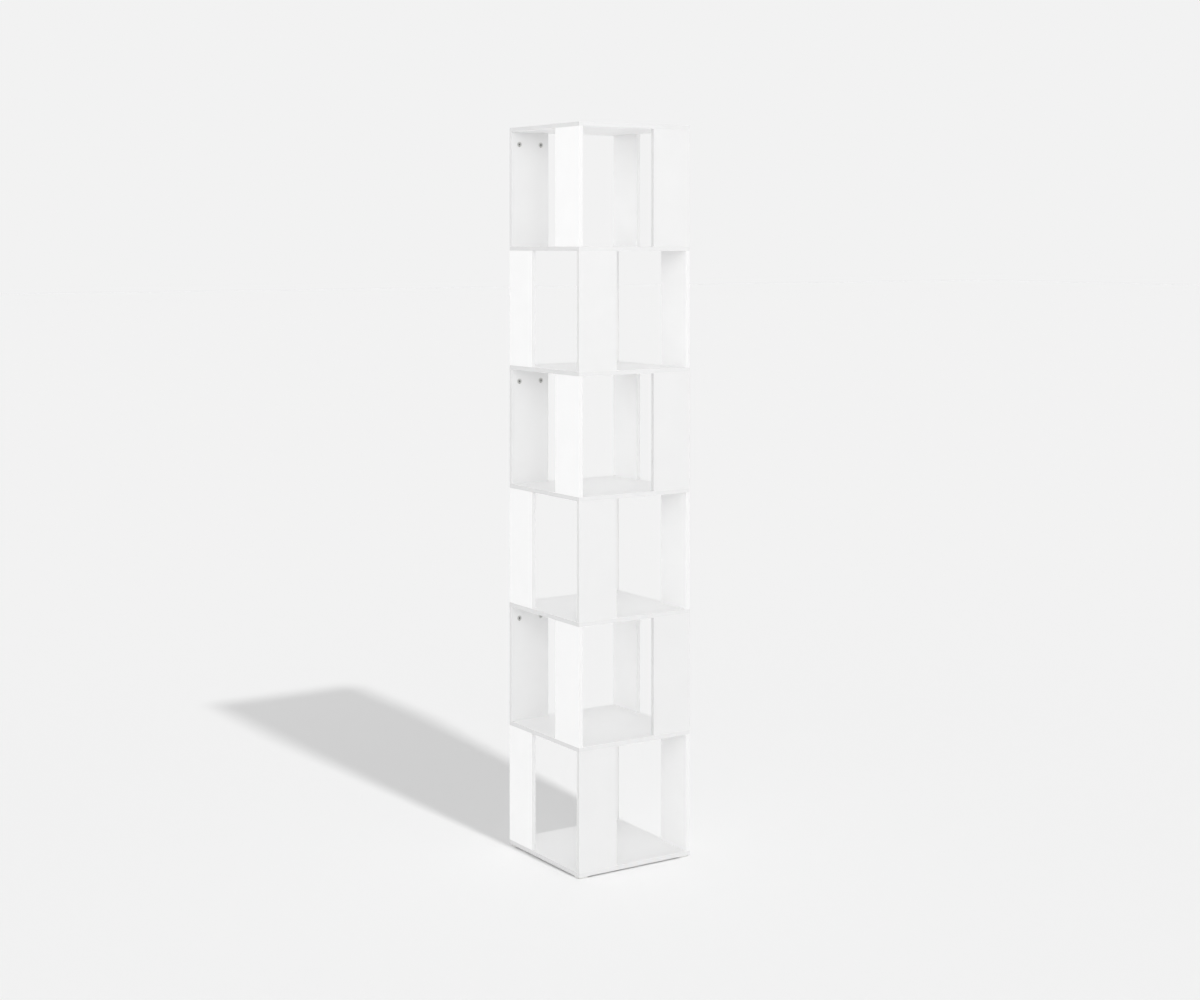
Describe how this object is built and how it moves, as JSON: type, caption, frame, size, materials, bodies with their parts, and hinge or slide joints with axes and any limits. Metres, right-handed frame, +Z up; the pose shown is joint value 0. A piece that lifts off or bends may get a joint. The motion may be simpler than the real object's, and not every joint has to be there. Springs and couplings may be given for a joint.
{
  "type": "spine bookshelf",
  "caption": "Tall square tower bookshelf in white lacquer: open levels between thin plates, carried by narrow corner panels in a pinwheel that reverses at each level.",
  "frame": {"origin": "on the floor under the middle of the tower, at the underside of the corner glides", "axes": "+Z up, -Y towards the front, +X to the right as seen from the front"},
  "size_m": [0.36, 0.36, 2.002],
  "materials": {
    "white_lacquer": "satin white lacquer on medium density fibreboard, sprayed and sanded, on the left and right panels",
    "soft_white_lacquer": "satin lacquer in a slightly greyer soft white on medium density fibreboard, on the plates and the front and back panels",
    "cast_zinc": "die-cast zinc, tumbled, with a dull grey face",
    "plated_steel": "turned steel with bright zinc plating",
    "beech_ply": "sawn beech plywood, unfinished",
    "white_glide_plastic": "white polyethylene foam-backed glide, matt"
  },
  "bodies": {
    "tower": {"base_plate": "soft_white_lacquer", "base_plate_tongues": "beech_ply", "shelf_1": "soft_white_lacquer", "shelf_1_tongues": "beech_ply", "shelf_2": "soft_white_lacquer", "shelf_2_tongues": "beech_ply", "shelf_3": "soft_white_lacquer", "shelf_3_tongues": "beech_ply", "shelf_4": "soft_white_lacquer", "shelf_4_tongues": "beech_ply", "shelf_5": "soft_white_lacquer", "shelf_5_tongues": "beech_ply", "top_plate": "soft_white_lacquer", "top_plate_tongues": "beech_ply", "level_1_front_panel": "soft_white_lacquer", "level_1_right_panel": "white_lacquer", "level_1_back_panel": "soft_white_lacquer", "level_1_left_panel": "white_lacquer", "level_2_front_panel": "soft_white_lacquer", "level_2_right_panel": "white_lacquer", "level_2_back_panel": "soft_white_lacquer", "level_2_left_panel": "white_lacquer", "shelf_2_bolts": "plated_steel", "level_3_front_panel": "soft_white_lacquer", "level_3_right_panel": "white_lacquer", "level_3_back_panel": "soft_white_lacquer", "level_3_left_panel": "white_lacquer", "level_4_front_panel": "soft_white_lacquer", "level_4_right_panel": "white_lacquer", "level_4_back_panel": "soft_white_lacquer", "level_4_left_panel": "white_lacquer", "shelf_4_bolts": "plated_steel", "level_5_front_panel": "soft_white_lacquer", "level_5_right_panel": "white_lacquer", "level_5_back_panel": "soft_white_lacquer", "level_5_left_panel": "white_lacquer", "level_6_front_panel": "soft_white_lacquer", "level_6_right_panel": "white_lacquer", "level_6_back_panel": "soft_white_lacquer", "level_6_left_panel": "white_lacquer", "top_plate_bolts": "plated_steel", "corner_glides": "white_glide_plastic"},
    "level_2_left_cam": {"level_2_left_cam": "cast_zinc"},
    "level_2_right_cam": {"level_2_right_cam": "cast_zinc"},
    "level_4_left_cam": {"level_4_left_cam": "cast_zinc"},
    "level_4_right_cam": {"level_4_right_cam": "cast_zinc"},
    "level_6_left_cam": {"level_6_left_cam": "cast_zinc"},
    "level_6_right_cam": {"level_6_right_cam": "cast_zinc"}
  },
  "joints": [
    {"name": "level_2_left_cam_turn", "type": "hinge", "parent": "tower", "child": "level_2_left_cam", "pos_m": [-0.155, 0.168, 0.632], "axis": [0, -1, 0], "range_deg": [0, 180]},
    {"name": "level_2_right_cam_turn", "type": "hinge", "parent": "tower", "child": "level_2_right_cam", "pos_m": [-0.085, 0.168, 0.632], "axis": [0, -1, 0], "range_deg": [0, 180]},
    {"name": "level_4_left_cam_turn", "type": "hinge", "parent": "tower", "child": "level_4_left_cam", "pos_m": [-0.155, 0.168, 1.294], "axis": [0, -1, 0], "range_deg": [0, 180]},
    {"name": "level_4_right_cam_turn", "type": "hinge", "parent": "tower", "child": "level_4_right_cam", "pos_m": [-0.085, 0.168, 1.294], "axis": [0, -1, 0], "range_deg": [0, 180]},
    {"name": "level_6_left_cam_turn", "type": "hinge", "parent": "tower", "child": "level_6_left_cam", "pos_m": [-0.155, 0.168, 1.956], "axis": [0, -1, 0], "range_deg": [0, 180]},
    {"name": "level_6_right_cam_turn", "type": "hinge", "parent": "tower", "child": "level_6_right_cam", "pos_m": [-0.085, 0.168, 1.956], "axis": [0, -1, 0], "range_deg": [0, 180]}
  ]
}
